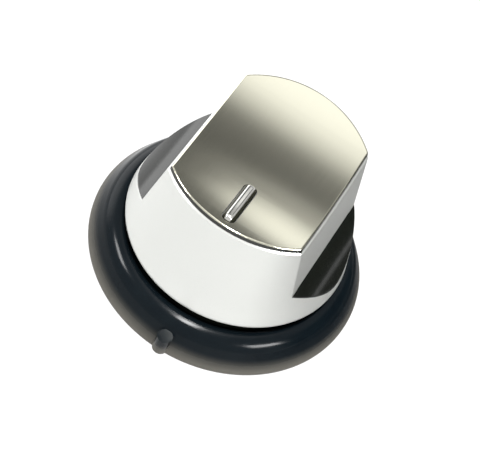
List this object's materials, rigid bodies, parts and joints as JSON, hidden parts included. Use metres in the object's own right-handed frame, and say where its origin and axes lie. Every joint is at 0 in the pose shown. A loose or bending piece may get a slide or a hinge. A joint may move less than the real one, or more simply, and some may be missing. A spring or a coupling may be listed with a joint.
{
  "type": "oven control knob",
  "caption": "Rotary cooker knob: a silver blade grip with a flared skirt and a satin metal top with a bright pointer bar, turning in a dark bezel ring that sits on the panel.",
  "frame": {"origin": "centre of the bezel ring's underside, on the spindle's axis", "axes": "+Z out of the panel along the spindle, -Y towards the pointer at rest, +X to the right seen from the front with the pointer down"},
  "size_m": [0.0596, 0.0606, 0.035],
  "materials": {
    "bezel": "navy-black moulded plastic, semi-gloss",
    "silver_shell": "silver lacquer with fine flake on moulded plastic, satin",
    "black_core": "black moulded plastic, gloss",
    "spring_steel": "blank spring steel",
    "satin_plate": "satin nickel, finely brushed",
    "bright_bar": "bright chrome"
  },
  "bodies": {
    "bezel": {"bezel_ring": "bezel"},
    "knob": {"outer_shell": "silver_shell", "inner_core": "black_core", "spindle_spring": "spring_steel", "top_plate": "satin_plate", "pointer_bar": "bright_bar"}
  },
  "joints": [
    {"name": "knob_turn", "type": "hinge", "parent": "bezel", "child": "knob", "pos_m": [0, 0, 0], "axis": [0, 0, 1], "continuous": true}
  ]
}
